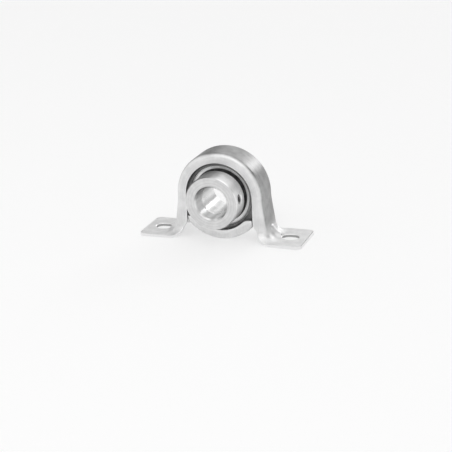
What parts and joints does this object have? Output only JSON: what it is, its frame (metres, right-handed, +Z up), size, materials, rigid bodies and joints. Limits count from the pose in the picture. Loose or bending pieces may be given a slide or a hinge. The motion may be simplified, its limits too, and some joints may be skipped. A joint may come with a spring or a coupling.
{
  "type": "pillow block bearing",
  "caption": "Pressed-steel pillow block with a rubber-cushioned ball bearing insert that is locked to a shaft by an eccentric collar.",
  "frame": {"origin": "base plane under the bearing, midway between the two bolt slots", "axes": "+X along the two feet, Y along the shaft with the locking collar towards -Y, +Z up from the base plane"},
  "size_m": [0.108, 0.0394, 0.0569],
  "materials": {
    "housing_steel": "satin zinc-plated pressed sheet",
    "interliner_rubber": "matt moulded",
    "ring_steel": "ground bearing steel",
    "ball_steel": "polished",
    "cage_polyamide": "moulded, glass-filled",
    "washer_steel": "bright pressed",
    "seal_rubber": "smooth",
    "collar_steel": "fine turned and polished",
    "screw_steel": "blackened"
  },
  "bodies": {
    "housing": {"housing_arch": "housing_steel", "housing_saddle": "housing_steel"},
    "interliner": {"rubber_interliner": "interliner_rubber"},
    "insert": {"outer_ring": "ring_steel", "seal_front_outer_washer": "washer_steel", "seal_front_lip": "seal_rubber", "seal_front_inner_washer": "washer_steel", "seal_rear_outer_washer": "washer_steel", "seal_rear_lip": "seal_rubber", "seal_rear_inner_washer": "washer_steel"},
    "inner_ring": {"inner_ring": "ring_steel"},
    "cage": {"ball_cage": "cage_polyamide"},
    "collar": {"locking_collar": "collar_steel"},
    "set_screw": {"set_screw": "screw_steel"},
    "ball_1": {"ball_1": "ball_steel"},
    "ball_2": {"ball_2": "ball_steel"},
    "ball_3": {"ball_3": "ball_steel"},
    "ball_4": {"ball_4": "ball_steel"},
    "ball_5": {"ball_5": "ball_steel"},
    "ball_6": {"ball_6": "ball_steel"},
    "ball_7": {"ball_7": "ball_steel"},
    "ball_8": {"ball_8": "ball_steel"}
  },
  "joints": [
    {"name": "alignment_yaw", "type": "hinge", "parent": "housing", "child": "interliner", "pos_m": [0, 0, 0.0286], "axis": [0, 0, 1], "range_deg": [-2.5, 2.5]},
    {"name": "alignment_pitch", "type": "hinge", "parent": "interliner", "child": "insert", "pos_m": [0, 0, 0.0286], "axis": [1, 0, 0], "range_deg": [-2.5, 2.5], "deforming": ["rubber_interliner"]},
    {"name": "inner_ring_spin", "type": "hinge", "parent": "insert", "child": "inner_ring", "pos_m": [0, 0, 0.0286], "axis": [0, 1, 0], "continuous": true},
    {"name": "cage_spin", "type": "hinge", "parent": "insert", "child": "cage", "pos_m": [0, 0, 0.0286], "axis": [0, 1, 0], "continuous": true},
    {"name": "collar_lock", "type": "hinge", "parent": "inner_ring", "child": "collar", "pos_m": [0, 0, 0.0286], "axis": [0, 1, 0], "range_deg": [-20, 20]},
    {"name": "set_screw_travel", "type": "slide", "parent": "collar", "child": "set_screw", "axis": [0.9903, 0, 0.1392], "range_m": [-0.0014, 0.0045]},
    {"name": "ball_1_spin", "type": "hinge", "parent": "cage", "child": "ball_1", "pos_m": [0, 0, 0.04535], "axis": [0, 1, 0], "continuous": true},
    {"name": "ball_2_spin", "type": "hinge", "parent": "cage", "child": "ball_2", "pos_m": [-0.01184, 0, 0.04044], "axis": [0, 1, 0], "continuous": true},
    {"name": "ball_3_spin", "type": "hinge", "parent": "cage", "child": "ball_3", "pos_m": [-0.01675, 0, 0.0286], "axis": [0, 1, 0], "continuous": true},
    {"name": "ball_4_spin", "type": "hinge", "parent": "cage", "child": "ball_4", "pos_m": [-0.01184, 0, 0.01676], "axis": [0, 1, 0], "continuous": true},
    {"name": "ball_5_spin", "type": "hinge", "parent": "cage", "child": "ball_5", "pos_m": [0, 0, 0.01185], "axis": [0, 1, 0], "continuous": true},
    {"name": "ball_6_spin", "type": "hinge", "parent": "cage", "child": "ball_6", "pos_m": [0.01184, 0, 0.01676], "axis": [0, 1, 0], "continuous": true},
    {"name": "ball_7_spin", "type": "hinge", "parent": "cage", "child": "ball_7", "pos_m": [0.01675, 0, 0.0286], "axis": [0, 1, 0], "continuous": true},
    {"name": "ball_8_spin", "type": "hinge", "parent": "cage", "child": "ball_8", "pos_m": [0.01184, 0, 0.04044], "axis": [0, 1, 0], "continuous": true}
  ],
  "couplings": [
    {"joint": "cage_spin", "follows": "inner_ring_spin", "ratio": 0.38152},
    {"joint": "ball_1_spin", "follows": "inner_ring_spin", "ratio": -1.9915},
    {"joint": "ball_2_spin", "follows": "inner_ring_spin", "ratio": -1.9915},
    {"joint": "ball_3_spin", "follows": "inner_ring_spin", "ratio": -1.9915},
    {"joint": "ball_4_spin", "follows": "inner_ring_spin", "ratio": -1.9915},
    {"joint": "ball_5_spin", "follows": "inner_ring_spin", "ratio": -1.9915},
    {"joint": "ball_6_spin", "follows": "inner_ring_spin", "ratio": -1.9915},
    {"joint": "ball_7_spin", "follows": "inner_ring_spin", "ratio": -1.9915},
    {"joint": "ball_8_spin", "follows": "inner_ring_spin", "ratio": -1.9915}
  ]
}
